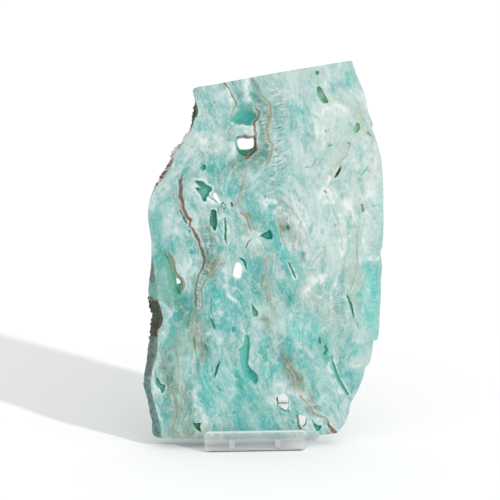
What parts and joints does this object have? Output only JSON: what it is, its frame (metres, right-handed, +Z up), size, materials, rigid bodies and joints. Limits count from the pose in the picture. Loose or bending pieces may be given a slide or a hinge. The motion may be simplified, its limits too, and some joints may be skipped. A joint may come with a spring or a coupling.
{
  "type": "polished blue aragonite slab on a clear stand",
  "caption": "Flat polished slab of banded blue stone with open vugs and a rough side, leaning back in a small clear easel stand.",
  "frame": {"origin": "on the surface the stand rests on, under the middle of the whole object", "axes": "+Z up, +X to the right as the polished face is seen, +Y away from the viewer, the way the slab leans"},
  "size_m": [0.1212, 0.078, 0.1905],
  "materials": {
    "aragonite": "polished faces, sawn top and bottom, rough natural sides",
    "acrylic": "clear, flame polished"
  },
  "bodies": {
    "root": {"slab": "aragonite", "front_plate": "acrylic", "rear_plate": "acrylic", "runner_left": "acrylic", "runner_right": "acrylic"}
  },
  "joints": []
}
